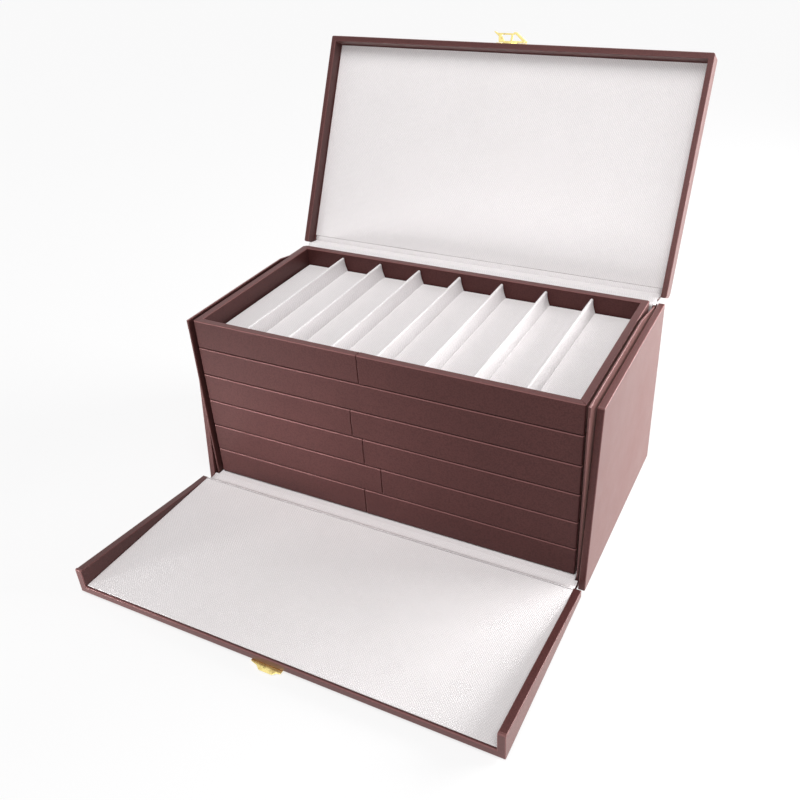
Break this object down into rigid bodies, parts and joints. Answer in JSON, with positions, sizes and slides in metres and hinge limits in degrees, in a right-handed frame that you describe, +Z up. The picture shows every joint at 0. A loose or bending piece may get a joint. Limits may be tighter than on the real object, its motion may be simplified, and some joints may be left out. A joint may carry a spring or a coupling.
{
  "type": "watch strap display case",
  "caption": "Leatherette display case with a hinged lid, a drop front and a stack of lift-out trays, each divided into long padded compartments for watch straps.",
  "frame": {"origin": "centre of the underside of the case body, where it stands on the table", "axes": "+X to the right seen from the front, +Y to the back where the lid hinges, +Z up; the row is stored with the lid open and the drop front lying down"},
  "size_m": [0.372, 0.4789, 0.3583],
  "materials": {
    "brown_leatherette": "fine-grained brown leatherette, satin",
    "pale_microfibre": "pale short-napped microfibre",
    "gold_metal": "bright yellow-gold plating, polished"
  },
  "bodies": {
    "case": {"floor_board": "brown_leatherette", "floor_lining": "pale_microfibre", "back_board": "brown_leatherette", "back_lining": "pale_microfibre", "side_panel_left": "brown_leatherette", "side_panel_right": "brown_leatherette", "neck_board_left": "brown_leatherette", "neck_board_right": "brown_leatherette", "flap_crease_lining": "pale_microfibre", "flap_crease_cover": "brown_leatherette", "back_crease_lining": "pale_microfibre", "back_crease_cover": "brown_leatherette"},
    "spine": {"spine_board": "brown_leatherette", "spine_lining": "pale_microfibre", "lid_crease_cover": "brown_leatherette"},
    "lid": {"lid_board": "brown_leatherette", "lid_rim_left": "brown_leatherette", "lid_rim_right": "brown_leatherette", "lid_rim_front": "brown_leatherette", "lid_lining": "pale_microfibre", "lid_crease_lining": "pale_microfibre", "hasp_plate": "gold_metal", "hasp_rivets": "gold_metal", "hasp_pin": "gold_metal"},
    "hasp": {"hasp_arm": "gold_metal"},
    "drop_front": {"flap_board": "brown_leatherette", "flap_flange_left": "brown_leatherette", "flap_flange_right": "brown_leatherette", "flap_lining": "pale_microfibre", "catch_plate": "gold_metal", "catch_knob": "gold_metal", "catch_rivets": "gold_metal"},
    "tray_1": {"tray_1_frame": "brown_leatherette", "tray_1_floor": "brown_leatherette", "tray_1_pad": "pale_microfibre", "tray_1_dividers": "pale_microfibre"},
    "tray_2": {"tray_2_frame": "brown_leatherette", "tray_2_floor": "brown_leatherette", "tray_2_pad": "pale_microfibre", "tray_2_dividers": "pale_microfibre"},
    "tray_3": {"tray_3_frame": "brown_leatherette", "tray_3_floor": "brown_leatherette", "tray_3_pad": "pale_microfibre", "tray_3_dividers": "pale_microfibre"},
    "tray_4": {"tray_4_frame": "brown_leatherette", "tray_4_floor": "brown_leatherette", "tray_4_pad": "pale_microfibre", "tray_4_dividers": "pale_microfibre"},
    "tray_5": {"tray_5_frame": "brown_leatherette", "tray_5_floor": "brown_leatherette", "tray_5_pad": "pale_microfibre", "tray_5_dividers": "pale_microfibre"},
    "tray_6": {"tray_6_frame": "brown_leatherette", "tray_6_floor": "brown_leatherette", "tray_6_pad": "pale_microfibre", "tray_6_dividers": "pale_microfibre"}
  },
  "joints": [
    {"name": "spine_fold", "type": "hinge", "parent": "case", "child": "spine", "pos_m": [0, 0.09935, 0.1619], "axis": [-1, 0, 0], "range_deg": [-100, 0], "deforming": ["back_crease_lining", "back_crease_cover"]},
    {"name": "lid_fold", "type": "hinge", "parent": "spine", "child": "lid", "pos_m": [0, 0.11538, 0.16009], "axis": [-1, 0, 0], "range_deg": [-16, 0], "deforming": ["lid_crease_lining", "lid_crease_cover"]},
    {"name": "hasp_swing", "type": "hinge", "parent": "lid", "child": "hasp", "pos_m": [0, 0.19863, 0.34812], "axis": [-1, 0, 0], "range_deg": [-90, 0]},
    {"name": "drop_front_fold", "type": "hinge", "parent": "case", "child": "drop_front", "pos_m": [0, -0.1065, 0.0016], "axis": [1, 0, 0], "range_deg": [-90, 0], "deforming": ["flap_crease_lining", "flap_crease_cover"]},
    {"name": "tray_1_lift", "type": "slide", "parent": "case", "child": "tray_1", "axis": [0, 0, 1], "range_m": [0, 0.1735]},
    {"name": "tray_2_lift", "type": "slide", "parent": "tray_1", "child": "tray_2", "axis": [0, 0, 1], "range_m": [0, 0.1464]},
    {"name": "tray_3_lift", "type": "slide", "parent": "tray_2", "child": "tray_3", "axis": [0, 0, 1], "range_m": [0, 0.1194]},
    {"name": "tray_4_lift", "type": "slide", "parent": "tray_3", "child": "tray_4", "axis": [0, 0, 1], "range_m": [0, 0.0923]},
    {"name": "tray_5_lift", "type": "slide", "parent": "tray_4", "child": "tray_5", "axis": [0, 0, 1], "range_m": [0, 0.0653]},
    {"name": "tray_6_lift", "type": "slide", "parent": "tray_5", "child": "tray_6", "axis": [0, 0, 1], "range_m": [0, 0.0382]}
  ]
}
